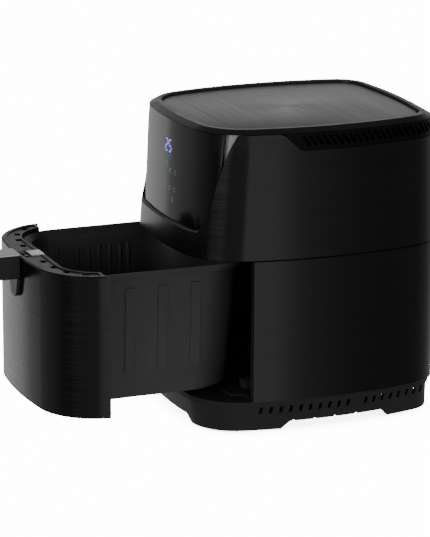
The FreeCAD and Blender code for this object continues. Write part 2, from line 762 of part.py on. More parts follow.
def trim_windows():
    """Row of rectangular air openings each side of the handle."""
    cuts = []
    for x, y, turn in ((33.0, -124.0, 4.0), (57.0, -121.5, 9.0), (79.0, -115.5, 20.0), (97.0, -101.0, 48.0)):
        cut = box(-4.2, 4.2, -3.0, 3.0, TRIM_LOW - 1, TRIM_TOP + 1)
        cut.rotate(V(0, 0, 0), V(0, 0, 1), turn)
        cut.translate(V(x, y, 0))
        cuts.append(cut)
    return cuts + [mirrored(cut) for cut in cuts]


def pot_room(gap):
    """The pot's flange and the space round it, from above to below."""
    half = RIM_HALF + gap
    return rounded_block(-half, half, POT_FRONT - gap, POT_REAR + gap, POT_CORNER + gap, 0, 300)


def drawer_trim():
    """Moulded top cap of the drawer front, with a sunk field of windows and a lip round the pot."""
    cap = front_band(TRIM_IN, TRIM_IN + TRIM_DEPTH, TRIM_LOW, TRIM_TOP, TRIM_END).cut(pot_room(0.8))
    hollow = front_band(TRIM_IN + 2.4, TRIM_IN + 17.0, TRIM_LOW - 1, TRIM_TOP - 3.4, TRIM_END - 3)
    field = front_band(TRIM_IN + 4.2, TRIM_IN + TRIM_DEPTH, TRIM_TOP - 1.2, TRIM_TOP + 1, TRIM_END - 3)
    field = field.cut(pot_room(2.6))
    recess = box(-12.5, 12.5, FRONT_Y + 4.5, STRAP_RISE_Y - 0.6, TRIM_TOP - 2.3, TRIM_TOP + 1)
    rise = box(-STRAP_HALF - 0.5, STRAP_HALF + 0.5, STRAP_RISE_Y - 0.4, POT_FRONT, STRAP_Z - 1, TRIM_TOP + 1)
    heads = [rod(x, SCREW_Y, STRAP_Z, TRIM_TOP + 1, 2.5) for x in (-6, 6)]
    return cap.cut(group(trim_windows() + [hollow, field, recess, rise, strap_slot()] + heads))


def tub_wire(depth, draft, z):
    """Outline of the pot's wall at one height."""
    side = RIM_HALF - POT_SIDE_IN - draft - depth
    near = POT_FRONT + POT_FRONT_IN + draft + depth
    far = POT_REAR - POT_SIDE_IN - draft - depth
    return rounded(-side, side, near, far, 27.0 + draft - depth, z, 46.0 + 2.8 * draft - depth)


def pot_form(depth, low_z):
    """Tapering tub with round corners, drawn a distance further in."""
    return Part.makeLoft([tub_wire(depth, 0.0, POT_STEP_Z), tub_wire(depth, POT_DRAFT, low_z)], True, True)


def pot_ribs():
    """Upright pressed panels that stand out of the long sides."""
    ribs = []
    fall = POT_STEP_Z - POT_FLOOR_Z
    for y in (-52.5, -17.0, 18.5):
        rib = box(0, 2.0, y - 5.0, y + 5.0, 76, 165)
        rib.rotate(V(0, 0, 120), V(0, 1, 0), math.degrees(math.atan(POT_DRAFT / fall)))
        rib.translate(V(RIM_HALF - POT_SIDE_IN - POT_DRAFT * (POT_STEP_Z - 120) / fall - 0.9, 0, 0))
        ribs.append(rib)
    return ribs + [mirrored(rib) for rib in ribs]


def pot():
    """Deep-drawn pot: a sloping flange with a turned edge, a step and pressed ribs."""
    edge = rounded_block(-RIM_HALF, RIM_HALF, POT_FRONT, POT_REAR, POT_CORNER, POT_RIM_Z - 3.6, POT_RIM_Z)
    under = rounded_block(-RIM_HALF + 3, RIM_HALF - 3, POT_FRONT + 3, POT_REAR - 3, POT_CORNER - 3,
                          POT_STEP_Z - 1.6, POT_RIM_Z - 3.6)
    slope = Part.makeLoft([tub_wire(POT_WALL, 0.0, POT_STEP_Z),
                           rounded(-RIM_HALF + 1.6, RIM_HALF - 1.6, POT_FRONT + 1.6, POT_REAR - 1.6,
                                   POT_CORNER - 1.6, POT_RIM_Z + 0.01)], True, True)
    body = pot_form(0.0, POT_FLOOR_Z).fuse([edge, under] + pot_ribs())
    return body.cut(slope).cut(pot_form(POT_WALL, POT_FLOOR_Z + POT_WALL))


def pot_hooks():
    """Formed tabs that hang the pot on the drawer front."""
    hooks = []
    for sx in (-1, 1):
        for z in (70.0, 160.0):
            tab = box(50, 62, FRONT_Y + 6, POT_FRONT + 17.5, z - 6, z - 4.4)
            tab = tab.common(slab(inset(LOWER, 4.3), 0, 300)).cut(pot_form(-0.2, POT_FLOOR_Z))
            hooks.append(tab if sx > 0 else mirrored(tab))
    return group(hooks)


def handle_shell():
    """Hollow moulded bar that stands out of the middle of the drawer front."""
    y0, y1 = FRONT_Y - HANDLE_REACH, FRONT_Y - 0.3
    bar = box(-HANDLE_HALF, HANDLE_HALF, y0, y1, HANDLE_LOW_Z, HANDLE_TOP_Z - 2.0)
    front_edges = [edge for edge in bar.Edges if abs(edge.CenterOfMass.y - y0) < 0.1]
    bar = bar.makeFillet(7.0, front_edges)
    middle = (y0 + y1) / 2
    hollows = [box(-HANDLE_HALF + 3, HANDLE_HALF - 3, a, b, HANDLE_LOW_Z - 1, HANDLE_TOP_Z - 6)
               for a, b in ((y0 + 8, middle - 1.5), (middle + 1.5, y1 - 4))]
    return bar.cut(group(hollows))


def handle_cap():
    """Lighter cover along the top of the handle, with eased long edges."""
    y0, y1 = FRONT_Y - HANDLE_REACH + 3.5, FRONT_Y - 0.6
    cap = box(-HANDLE_HALF + 0.6, HANDLE_HALF - 0.6, y0, y1, HANDLE_TOP_Z - 2.0, HANDLE_TOP_Z)
    long_edges = [edge for edge in cap.Edges
                  if edge.BoundBox.YLength > 20 and edge.BoundBox.ZMin > HANDLE_TOP_Z - 1]
    return cap.makeFillet(1.5, long_edges)


def handle_bracket():
    """Metal strap from the handle, under the trim and up over the pot's flange."""
    thick = 1.4
    under = box(-STRAP_HALF, STRAP_HALF, FRONT_Y - 0.2, STRAP_RISE_Y + thick, STRAP_Z, STRAP_Z + thick)
    rise = box(-STRAP_HALF, STRAP_HALF, STRAP_RISE_Y, STRAP_RISE_Y + thick, STRAP_Z, TRIM_TOP)
    tab = box(-STRAP_HALF, STRAP_HALF, STRAP_RISE_Y, POT_FRONT + 1.4, TRIM_TOP - thick, TRIM_TOP)
    lip = box(-STRAP_HALF, STRAP_HALF, POT_FRONT + 0.1, POT_FRONT + 1.4, POT_RIM_Z + 0.1, TRIM_TOP)
    return under.fuse([rise, tab, lip])


def handle_tongue():
    """Rounded escutcheon on the drawer face under the handle."""
    stand, tip_z = 4.0, HANDLE_LOW_Z - 21.2
    points = [V(-HANDLE_HALF, FRONT_Y - stand, HANDLE_LOW_Z - 0.1),
              V(HANDLE_HALF, FRONT_Y - stand, HANDLE_LOW_Z - 0.1)]
    side = 0.72 * HANDLE_HALF
    bend_z = tip_z + 7.5
    edges = [Part.makeLine(points[0], points[1]),
             Part.makeLine(points[1], V(side, FRONT_Y - stand, bend_z)),
             Part.Arc(V(side, FRONT_Y - stand, bend_z), V(0, FRONT_Y - stand, tip_z),
                      V(-side, FRONT_Y - stand, bend_z)).toShape(),
             Part.makeLine(V(-side, FRONT_Y - stand, bend_z), points[0])]
    block = Part.Face(Part.Wire(edges)).extrude(V(0, stand + 3, 0))
    return block.cut(slab(LOWER, 0, 300))


def handle_screws():
    """Two heads sunk in the trim's recess, tight on the strap below."""
    return group([rod(x, SCREW_Y, STRAP_Z + 1.4, TRIM_TOP - 0.6, 2.3) for x in (-6, 6)])


# ---- crisper --------------------------------------------------------------

CRISPER_Z = POT_FLOOR_Z + 14.0
CRISPER_GAP = 4.4


def crisper_plate():
    """Perforated plate on short legs in the bottom of the pot."""
    x = RIM_HALF - POT_SIDE_IN - POT_DRAFT - POT_WALL - CRISPER_GAP
    y0 = POT_FRONT + POT_FRONT_IN + POT_DRAFT + POT_WALL + CRISPER_GAP
    y1 = POT_REAR - POT_SIDE_IN - POT_DRAFT - POT_WALL - CRISPER_GAP
    near, far = 28.0, 54.0
    plate = rounded_block(-x, x, y0, y1, near, CRISPER_Z, CRISPER_Z + 1.4, far)
    rim = rounded_block(-x, x, y0, y1, near, CRISPER_Z, CRISPER_Z + 5, far)
    rim = rim.cut(rounded_block(-x + 1.4, x - 1.4, y0 + 1.4, y1 - 1.4, near - 1.4, 0, 100, far - 1.4))
    middle = (y0 + y1) / 2
    holes = []
    for row in range(-5, 6):
        for col in range(-5, 6):
            shift = 7.0 if row % 2 else 0.0
            px, py = col * 14 + shift, middle + row * 12.5
            if abs(px) < x - 12 and math.hypot(px, py - middle) < x + 2:
                holes.append(rod(px, py, CRISPER_Z - 1, CRISPER_Z + 3, 4.0))
    legs = []
    for sx in (-1, 1):
        for sy in (-1, 1):
            legs.append(rod(sx * 48, middle + sy * 48, POT_FLOOR_Z + POT_WALL + 0.3, CRISPER_Z + 0.5, 2.4))
    return plate.fuse([rim] + legs).cut(group(holes))


def crisper_bumpers():
    """Silicone pads that keep the plate from scratching the pot."""
    x = RIM_HALF - POT_SIDE_IN - POT_DRAFT - POT_WALL - CRISPER_GAP
    middle = (POT_FRONT + POT_REAR) / 2
    pads = []
    for sx in (-1, 1):
        for y in (middle - 40, middle + 40):
            pad = box(x + 0.05, x + 2.7, y - 6, y + 6, CRISPER_Z - 1, CRISPER_Z + 7)
            pads.append(pad if sx > 0 else mirrored(pad))
    return group(pads)


# ---- assembly -------------------------------------------------------------


def build_housing():
    for piece in (base_tray, bottom_cover, foot_pads, base_screws, lower_wrap, front_frame, cavity_liner,
                  cavity_floor, guide_rails, drawer_catches, cord_inlet, upper_wrap, panel_frame,
                  control_panel, control_board, display_module, touch_springs, vent_grille, rear_outlet,
                  top_ring, ring_carrier, lid_plate, head_floor, heater_box, heater_coil, heater_clips,
                  fan_guard, motor, motor_windings, motor_bracket, motor_screws, thermal_cutout,
                  temperature_probe, power_board, board_parts, board_posts, safety_switch):
        HOUSING[piece.__name__] = piece()


def build_moving():
    FAN["convection_fan"] = radial_fan(60.0, 9.0, 215.2, 14.0, 12, 227.8)
    FAN["cooling_fan"] = radial_fan(44.0, 8.0, 288.0, 12.0, 10, 287.0)
    FAN["motor_shaft"] = motor_shaft()
    FAN["fan_nut"] = fan_nut()
    SWITCH["switch_plunger"] = switch_plunger()
    for piece in (drawer_front, drawer_backing, drawer_trim, pot, pot_hooks, handle_shell, handle_cap,
                  handle_bracket, handle_tongue, handle_screws):
        DRAWER[piece.__name__] = piece()
    for piece in (crisper_plate, crisper_bumpers):
        CRISPER[piece.__name__] = piece()


def write(name, shape, shift):
    moved = shape.copy()
    moved.translate(shift)
    if not moved.isValid():
        print("NOT VALID", name)
    moved.exportStep("parts/" + name + ".step")


def main():
    os.makedirs("parts", exist_ok=True)
    build_housing()
    build_moving()
    front_most = FRONT_Y - HANDLE_REACH - REST_TRAVEL
    rear_most = HOUSING["cord_inlet"].BoundBox.YMax
    for name in HOUSING:
        rear_most = max(rear_most, HOUSING[name].BoundBox.YMax)
    centre_shift = -(front_most + rear_most) / 2
    print("shift along Y", round(centre_shift, 3), "rear", round(rear_most, 3))
    home = V(0, centre_shift, 0)
    out = V(0, centre_shift - REST_TRAVEL, 0)
    for bodies, shift in ((HOUSING, home), (FAN, home), (SWITCH, home), (DRAWER, out), (CRISPER, out)):
        for name, shape in bodies.items():
            write(name, shape, shift)


main()
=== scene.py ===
import json
import math
import bmesh
import bpy
from mathutils import Matrix, Vector


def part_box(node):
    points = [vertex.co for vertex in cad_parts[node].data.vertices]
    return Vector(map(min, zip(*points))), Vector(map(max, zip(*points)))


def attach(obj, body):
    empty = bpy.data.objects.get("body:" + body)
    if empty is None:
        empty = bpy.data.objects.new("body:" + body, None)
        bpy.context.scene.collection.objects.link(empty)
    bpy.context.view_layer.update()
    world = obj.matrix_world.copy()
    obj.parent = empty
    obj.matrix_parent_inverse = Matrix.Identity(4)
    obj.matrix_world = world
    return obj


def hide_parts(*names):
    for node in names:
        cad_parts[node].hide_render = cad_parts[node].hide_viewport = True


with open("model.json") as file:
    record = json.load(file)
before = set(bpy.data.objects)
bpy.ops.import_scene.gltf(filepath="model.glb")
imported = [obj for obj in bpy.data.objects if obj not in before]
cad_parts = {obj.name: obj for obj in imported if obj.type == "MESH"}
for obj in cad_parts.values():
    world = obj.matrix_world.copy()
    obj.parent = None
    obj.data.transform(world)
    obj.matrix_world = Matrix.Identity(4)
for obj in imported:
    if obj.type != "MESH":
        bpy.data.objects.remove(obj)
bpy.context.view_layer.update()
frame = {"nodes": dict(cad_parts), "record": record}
MM = 0.001

# ---- sizes taken from the frame -------------------------------------------

WRAP_LOW, WRAP_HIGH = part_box("upper_wrap")
HALF = WRAP_HIGH.x
FRONT = WRAP_LOW.y
REAR = WRAP_HIGH.y
SEAM_Z = WRAP_LOW.z
MID_Y = (FRONT + REAR) / 2
RING_LOW_Z = WRAP_HIGH.z
TOP_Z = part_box("top_ring")[1].z
VENT_LOW_Z = 298 * MM
SPLIT_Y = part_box("lower_wrap")[0].y
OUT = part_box("drawer_front")[0].y - FRONT
SHEET = 1.2 * MM
HOUSING, DRAWER = "housing", "drawer"

# ---- outlines: the body's plan is a chain of tangent arcs ------------------

LOWER = dict(half=HALF, front=FRONT, rear=REAR, r_front=460 * MM, r_side=430 * MM, r_rear=600 * MM,
             c_front=62 * MM, c_rear=46 * MM, side_y=MID_Y + 8 * MM)


def inset(plan, depth):
    out = dict(plan)
    out["half"] = plan["half"] - depth
    out["front"] = plan["front"] + depth
    out["rear"] = plan["rear"] - depth
    for key in ("r_front", "r_side", "r_rear", "c_front", "c_rear"):
        out[key] = plan[key] - depth
    return out


def leaned(side, front):
    out = inset(LOWER, side * MM)
    out["front"] = FRONT + front * MM
    return out


SHOULDER = leaned(3.0, 9.0)
TOP = leaned(5.5, 10.8)


def corner_centre(centre_a, reach_a, centre_b, reach_b):
    dx, dy = centre_b[0] - centre_a[0], centre_b[1] - centre_a[1]
    gap = math.hypot(dx, dy)
    along = (reach_a ** 2 - reach_b ** 2 + gap ** 2) / (2 * gap)
    side = math.sqrt(reach_a ** 2 - along ** 2)
    ux, uy = dx / gap, dy / gap
    mid = (centre_a[0] + ux * along, centre_a[1] + uy * along)
    one = (mid[0] - uy * side, mid[1] + ux * side)
    two = (mid[0] + uy * side, mid[1] - ux * side)
    return one if one[0] > two[0] else two


def arcs_of(plan):
    """Right half of an outline, front to rear: centre, radius, start and end angle."""
    front = (0.0, plan["front"] + plan["r_front"])
    side = (plan["half"] - plan["r_side"], plan["side_y"])
    rear = (0.0, plan["rear"] - plan["r_rear"])
    near = corner_centre(front, plan["r_front"] - plan["c_front"], side, plan["r_side"] - plan["c_front"])
    far = corner_centre(rear, plan["r_rear"] - plan["c_rear"], side, plan["r_side"] - plan["c_rear"])

    def heading(a, b):
        return math.atan2(b[1] - a[1], b[0] - a[0])

    t1, t2, t3, t4 = heading(front, near), heading(side, near), heading(side, far), heading(rear, far)
    return [(front, plan["r_front"], -math.pi / 2, t1), (near, plan["c_front"], t1, t2),
            (side, plan["r_side"], t2, t3), (far, plan["c_rear"], t3, t4),
            (rear, plan["r_rear"], t4, math.pi / 2)]


def place(plan, station):
    """Where a station (side, arc, share of the arc) lies on an outline."""
    flip, index, share = station
    (cx, cy), radius, start, end = arcs_of(plan)[index]
    turn = start + (end - start) * share
    return Vector((flip * (cx + radius * math.cos(turn)), cy + radius * math.sin(turn)))


STEPS = (16, 44, 30, 20, 20)        # how finely each arc of the outline is cut


def half_loop(flip):
    return [(flip, i, k / STEPS[i]) for i in range(5) for k in range(STEPS[i])]


def full_loop():
    """Stations once round the outline, from the front centre by +X."""
    right = half_loop(1.0)
    left = [(-1.0, i, s) for _, i, s in right]
    return right + [(1.0, 4, 1.0)] + left[:0:-1]


def share_at_y(plan, y):
    """Share of the side arc at which the outline reaches y."""
    (_, cy), radius, start, end = arcs_of(plan)[2]
    return (math.asin((y - cy) / radius) - start) / (end - start)


def front_path(y):
    """Stations across the front, from the +X side's y to the same on the -X side."""
    last = share_at_y(LOWER, y)
    right = [s for s in half_loop(1.0) if s[1] < 2 or (s[1] == 2 and s[2] < last)] + [(1.0, 2, last)]
    return right[::-1] + [(-1.0, i, s) for _, i, s in right[1:]]


def rear_path(y):
    """Stations round the back, from the +X side's y to the same on the -X side."""
    first = share_at_y(LOWER, y)
    right = [(1.0, 2, first)] + [s for s in half_loop(1.0) if s[1] > 2 or (s[1] == 2 and s[2] > first)]
    return right + [(1.0, 4, 1.0)] + [(-1.0, i, s) for _, i, s in right[::-1]]


def upright(station, z, depth):
    return place(inset(LOWER, depth), station)


def head(station, z, depth):
    """The head's form: straight tapers from the seam to the shoulder and on to the ring."""
    if z < VENT_LOW_Z:
        low, high, share = LOWER, SHOULDER, (z - SEAM_Z) / (VENT_LOW_Z - SEAM_Z)
    else:
        low, high, share = SHOULDER, TOP, (z - VENT_LOW_Z) / (RING_LOW_Z - VENT_LOW_Z)
    a, b = place(inset(low, depth), station), place(inset(high, depth), station)
    return a.lerp(b, share)


# ---- mesh helpers ---------------------------------------------------------


def finish_mesh(name, bm, sharp=35.0):
    bmesh.ops.recalc_face_normals(bm, faces=bm.faces[:])
    mesh = bpy.data.meshes.new(name)
    bm.to_mesh(mesh)
    bm.free()
    mesh.polygons.foreach_set("use_smooth", [True] * len(mesh.polygons))
    mesh.set_sharp_from_angle(angle=math.radians(sharp))
    obj = bpy.data.objects.new(name, mesh)
    bpy.context.scene.collection.objects.link(obj)
    return obj


def skin(name, rings, closed, sharp=35.0):
    """Closed solid through equal loops of points; open runs of loops are capped."""
    bm = bmesh.new()
    verts = [[bm.verts.new(p) for p in ring] for ring in rings]
    count = len(rings)
    size = len(rings[0])
    for i in range(count if closed else count - 1):
        a, b = verts[i], verts[(i + 1) % count]
        for k in range(size):
            bm.faces.new((a[k], a[(k + 1) % size], b[(k + 1) % size], b[k]))
    if not closed:
        bm.faces.new(verts[0])
        bm.faces.new(verts[-1][::-1])
    return finish_mesh(name, bm, sharp)


def sheet_profile(low, high, thick, rows):
    """Loop of (z, depth) round a sheet's section, with eased edges."""
    ease = thick * 0.3
    outer = [(low + ease + (high - low - 2 * ease) * k / rows, 0.0) for k in range(rows + 1)]
    top = [(high, ease), (high, thick - ease)]
    inner = [(z, thick) for z, _ in outer[::-1]]
    return outer + top + inner + [(low, thick - ease), (low, ease)]


def wall(name, stations, low, high, form, closed, thick=SHEET, base_depth=0.0, rows=10, shift=0.0):
    """A bent sheet: low and high may change from station to station."""
    rings = []
    for station in stations:
        z0 = low(station) if callable(low) else low
        z1 = high(station) if callable(high) else high
        ring = []
        for z, depth in sheet_profile(z0, z1, thick, rows):
            p = form(station, z, base_depth + depth)
            ring.append((p.x, p.y + shift, z))
        rings.append(ring)
    return skin(name, rings, closed)


def open_window(obj, low, high):
    """Cut a rectangular opening through a sheet."""
    bm = bmesh.new()
    bmesh.ops.create_cube(bm, size=1.0)
    for vert in bm.verts:
        vert.co = [low[i] + (vert.co[i] + 0.5) * (high[i] - low[i]) for i in range(3)]
    cutter = finish_mesh("window_cutter", bm)
    cut = obj.modifiers.new("window", "BOOLEAN")
    cut.operation = "DIFFERENCE"
    cut.solver = "EXACT"
    cut.object = cutter
    bpy.context.view_layer.update()
    whole = obj.evaluated_get(bpy.context.evaluated_depsgraph_get())
    opened = bpy.data.meshes.new_from_object(whole)
    obj.modifiers.clear()
    obj.data = opened
    bpy.data.objects.remove(cutter)


def band(name, plan, profile, sharp=35.0):
    """Closed sweep of an (inset, z) profile round an outline."""
    rings = []
    for station in full_loop():
        rings.append([(*place(inset(plan, depth), station), z) for depth, z in profile])
    return skin(name, rings, True, sharp)


def carried(node, bevel, name=None, sharp=30.0):
    """A finer copy of a CAD node: joined faces, eased edges and smooth shading."""
    bm = bmesh.new()
    bm.from_mesh(frame["nodes"][node].data)
    bmesh.ops.remove_doubles(bm, verts=bm.verts[:], dist=2e-6)
    bmesh.ops.dissolve_limit(bm, angle_limit=math.radians(0.6), verts=bm.verts[:], edges=bm.edges[:])
    obj = finish_mesh(name or node + "_fine", bm, sharp)
    if bevel:
        mod = obj.modifiers.new("eased", "BEVEL")
        mod.width = bevel
        mod.segments = 2
        mod.limit_method = "ANGLE"
        mod.angle_limit = math.radians(32)
        mod.harden_normals = True
    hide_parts(node)
    return obj


# ---- materials ------------------------------------------------------------


class Paint:
    """A procedural material: noise layers feed colour, roughness and bump."""

    def __init__(self, name, colour, rough, metal=0.0, specular=0.5, coat=0.0, coat_rough=0.1, aniso=0.0):
        self.mat = bpy.data.materials.new(name)
        self.mat.use_nodes = True
        self.nodes = self.mat.node_tree.nodes
        self.links = self.mat.node_tree.links
        self.shader = self.nodes["Principled BSDF"]
        self.colour = colour
        self.rough = rough
        sockets = self.shader.inputs
        sockets["Base Color"].default_value = (*colour, 1)
        sockets["Roughness"].default_value = rough
        sockets["Metallic"].default_value = metal
        sockets["Specular IOR Level"].default_value = specular
        sockets["Coat Weight"].default_value = coat
        sockets["Coat Roughness"].default_value = coat_rough
        sockets["Anisotropic"].default_value = aniso
        self.coords = self.nodes.new("ShaderNodeTexCoord").outputs["Object"]
        self.height = None

    def noise(self, scale, stretch=(1, 1, 1), detail=4.0, rough=0.6):
        mapping = self.nodes.new("ShaderNodeMapping")
        mapping.inputs["Scale"].default_value = stretch
        self.links.new(self.coords, mapping.inputs["Vector"])
        tex = self.nodes.new("ShaderNodeTexNoise")
        tex.inputs["Scale"].default_value = scale
        tex.inputs["Detail"].default_value = detail
        tex.inputs["Roughness"].default_value = rough
        self.links.new(mapping.outputs["Vector"], tex.inputs["Vector"])
        return tex.outputs["Fac"]

    def spread(self, source, low, high, span=(0.3, 0.7)):
        node = self.nodes.new("ShaderNodeMapRange")
        node.inputs["From Min"].default_value = span[0]
        node.inputs["From Max"].default_value = span[1]
        node.inputs["To Min"].default_value = low
        node.inputs["To Max"].default_value = high
        self.links.new(source, node.inputs["Value"])
        return node.outputs["Result"]

    def tint(self, source, change, span=(0.3, 0.7)):
        """Colour swings by a share either side of the base colour."""
        ramp = self.nodes.new("ShaderNodeValToRGB")
        ramp.color_ramp.elements[0].position = span[0]
        ramp.color_ramp.elements[1].position = span[1]
        ramp.color_ramp.elements[0].color = (*[c * (1 - change) for c in self.colour], 1)
        ramp.color_ramp.elements[1].color = (*[min(1, c * (1 + change)) for c in self.colour], 1)
        self.links.new(source, ramp.inputs["Fac"])
        self.links.new(ramp.outputs["Color"], self.shader.inputs["Base Color"])
        return self

    def rougher(self, source, swing, span=(0.3, 0.7)):
        low, high = max(0.02, self.rough - swing), min(1.0, self.rough + swing)
        self.links.new(self.spread(source, low, high, span), self.shader.inputs["Roughness"])
        return self

    def bump(self, source, depth, strength=1.0):
        node = self.nodes.new("ShaderNodeBump")
        node.inputs["Strength"].default_value = strength
        node.inputs["Distance"].default_value = depth
        self.links.new(source, node.inputs["Height"])
        if self.height:
            self.links.new(self.height, node.inputs["Normal"])
        self.height = node.outputs["Normal"]
        self.links.new(self.height, self.shader.inputs["Normal"])
        return self

    def stretched(self, turn=0.25):
        """Spread highlights up and down, whichever way the sheet faces."""
        tangent = self.nodes.new("ShaderNodeTangent")
        tangent.direction_type = "RADIAL"
        tangent.axis = "Z"
        self.links.new(tangent.outputs["Tangent"], self.shader.inputs["Tangent"])
        self.shader.inputs["Anisotropic Rotation"].default_value = turn
        return self

    def painted_light_by_height(self, low_z, high_z, low_colour, high_colour):
        """Painted light and shade: colour goes from one to another between two heights."""
        split = self.nodes.new("ShaderNodeSeparateXYZ")
        self.links.new(self.coords, split.inputs[0])
        share = self.spread(split.outputs["Z"], 0.0, 1.0, (low_z, high_z))
        ramp = self.nodes.new("ShaderNodeValToRGB")
        ramp.color_ramp.elements[0].color = (*low_colour, 1)
        ramp.color_ramp.elements[1].color = (*high_colour, 1)
        self.links.new(share, ramp.inputs["Fac"])
        self.links.new(ramp.outputs["Color"], self.shader.inputs["Base Color"])
        return self

    def glow(self, colour, strength):
        self.shader.inputs["Emission Color"].default_value = (*colour, 1)
        self.shader.inputs["Emission Strength"].default_value = strength
        return self


def brushed(name, colour, rough, along, **more):
    """Satin-coated brushed sheet; along is the stretch that draws the hairlines."""
    paint = Paint(name, colour, rough, **more)
    fine = paint.noise(1.0, along, 3.0)
    broad = paint.noise(1.0, tuple(v * 0.12 for v in along), 2.0)
    paint.tint(fine, 0.35).rougher(broad, 0.06)
    return paint.bump(fine, 0.02 * MM, 0.35)


def moulded(name, colour, rough, grain=1500.0, depth=0.03, **more):
    """Moulded plastic: a fine spark-eroded grain over a faint unevenness."""
    paint = Paint(name, colour, rough, **more)
    paint.tint(paint.noise(18.0), 0.12).rougher(paint.noise(60.0), 0.05)
    return paint.bump(paint.noise(grain, detail=2.0), depth * MM, 0.5)


def plated(name, colour, rough):
    """Bare or plated metal with faint rolling marks."""
    paint = Paint(name, colour, rough, metal=1.0)
    paint.tint(paint.noise(40.0, (1, 1, 6)), 0.15).rougher(paint.noise(90.0), 0.08)
    return paint.bump(paint.noise(400.0, (1, 1, 4)), 0.01 * MM, 0.3)


HAIRLINE_Z = (14, 14, 5200)
HAIRLINE_X = (16, 5200, 16)

PAINTS = {
    # painted light and shade: this black plastic is lighter near the foot and turns near black higher up,
    # by height alone
    "black_plastic": moulded("black_plastic", (0.012, 0.012, 0.0125), 0.42, specular=0.12).painted_light_by_height(
        0.06, 0.28, (0.036, 0.036, 0.037), (0.004, 0.004, 0.004)),
    "rail_plastic": moulded("rail_plastic", (0.05, 0.05, 0.052), 0.35),
    "rubber_pad": moulded("rubber_pad", (0.03, 0.03, 0.03), 0.8),
    "screw_steel": plated("screw_steel", (0.10, 0.10, 0.10), 0.4),
    "brushed_wrap": brushed("brushed_wrap", (0.0030, 0.0028, 0.0031), 0.22, HAIRLINE_Z, specular=0.42,
                            aniso=0.7).stretched(),
    "liner_steel": plated("liner_steel", (0.20, 0.20, 0.21), 0.45),
    # painted highlight: the surround's upper part turns light grey above 0.275 m while its lower part stays
    # dark
    "panel_frame": moulded("panel_frame", (0.05, 0.05, 0.05), 0.35, specular=0.4).painted_light_by_height(
        0.262, 0.275, (0.05, 0.05, 0.05), (0.6, 0.6, 0.6)),
    "panel_gloss": Paint("panel_gloss", (0.003, 0.003, 0.0035), 0.13),
    "display_light": Paint("display_light", (0.05, 0.05, 0.4), 0.4).glow((0.13, 0.11, 1.0), 3.2),
    "touch_light": Paint("touch_light", (0.03, 0.08, 0.1), 0.4).glow((0.2, 0.5, 0.65), 0.26),
    "circuit_board": moulded("circuit_board", (0.01, 0.09, 0.03), 0.4),
    "board_parts": moulded("board_parts", (0.04, 0.04, 0.05), 0.5),
    "top_ring": moulded("top_ring", (0.020, 0.020, 0.021), 0.34, grain=2200.0, depth=0.01, specular=0.4),
    "lid_plate": brushed("lid_plate", (0.215, 0.212, 0.212), 0.36, HAIRLINE_X, metal=0.85, aniso=0.4),
    "heater_metal": plated("heater_metal", (0.16, 0.15, 0.13), 0.5),
    "guard_wire": plated("guard_wire", (0.5, 0.5, 0.5), 0.35),
    "motor_core": plated("motor_core", (0.25, 0.25, 0.26), 0.5),
    "copper": plated("copper", (0.55, 0.24, 0.10), 0.4),
    "fan_metal": plated("fan_metal", (0.6, 0.6, 0.6), 0.35),
    "fan_plastic": moulded("fan_plastic", (0.05, 0.05, 0.05), 0.5),
    "switch_body": moulded("switch_body", (0.05, 0.04, 0.04), 0.5),
    "switch_pin": plated("switch_pin", (0.6, 0.6, 0.6), 0.3),
    "drawer_plastic": moulded("drawer_plastic", (0.010, 0.010, 0.011), 0.36, specular=0.35),
    # painted shade: the pot's coating darkens from 0.10 m upwards towards its rim, by height alone
    "nonstick": moulded("nonstick", (0.058, 0.058, 0.060), 0.45, grain=900.0, depth=0.02).painted_light_by_height(
        0.10, 0.30, (0.058, 0.058, 0.060), (0.02, 0.02, 0.021)),
    "silicone": moulded("silicone", (0.03, 0.03, 0.03), 0.7),
    "handle_plastic": moulded("handle_plastic", (0.018, 0.018, 0.019), 0.38, specular=0.4),
    "handle_cap": moulded("handle_cap", (0.82, 0.79, 0.85), 0.35),
    "strap_metal": plated("strap_metal", (0.75, 0.75, 0.76), 0.35),
}

SLOT_OF = {row["node"]: row["material_slot"] for row in frame["record"]["subparts"]}


def finish_piece(obj, body, slot, *nodes):
    obj.data.materials.clear()
    obj.data.materials.append(PAINTS[slot].mat)
    if nodes:
        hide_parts(*nodes)
    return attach(obj, body)


def paint_frame():
    for name, obj in frame["nodes"].items():
        obj.data.materials.clear()
        obj.data.materials.append(PAINTS[SLOT_OF[name]].mat)


paint_frame()

# ---- wraps ----------------------------------------------------------------

CUT_FOOT_Z = 212 * MM
CUT_CORNER = (76 * MM, 89 * MM, 226 * MM)      # where the arch's corner starts, ends, and its height
CUT_TOP = (105.5 * MM, 322 * MM)
VENT_START = (MID_Y - 33 * MM, MID_Y - 50 * MM)


def arch_height(x):
    """Height of the panel opening's edge above a point of the front."""
    start, end, end_z = CUT_CORNER
    if x < start:
        return CUT_FOOT_Z
    if x < end:
        share = (x - start) / (end - start)
        return CUT_FOOT_Z + (end_z - CUT_FOOT_Z) * (1 - math.cos(share * math.pi / 2)) ** 0.9
    return min(end_z + (x - end) / (CUT_TOP[0] - end) * (CUT_TOP[1] - end_z), RING_LOW_Z)


def wrap_edge(station):
    """Top edge of the upper wrap: under the panel, up to the ring, then below the vent."""
    z = RING_LOW_Z - 1 * MM
    for _ in range(12):
        p = head(station, z, 0.0)
        z = 0.5 * z + 0.5 * arch_height(abs(p.x)) if p.y < MID_Y - 60 * MM else RING_LOW_Z
    low_y, top_y = VENT_START
    if p.y > low_y:
        return VENT_LOW_Z
    if p.y > top_y:
        return RING_LOW_Z + (VENT_LOW_Z - RING_LOW_Z) * (p.y - top_y) / (low_y - top_y)
    return min(z, RING_LOW_Z)


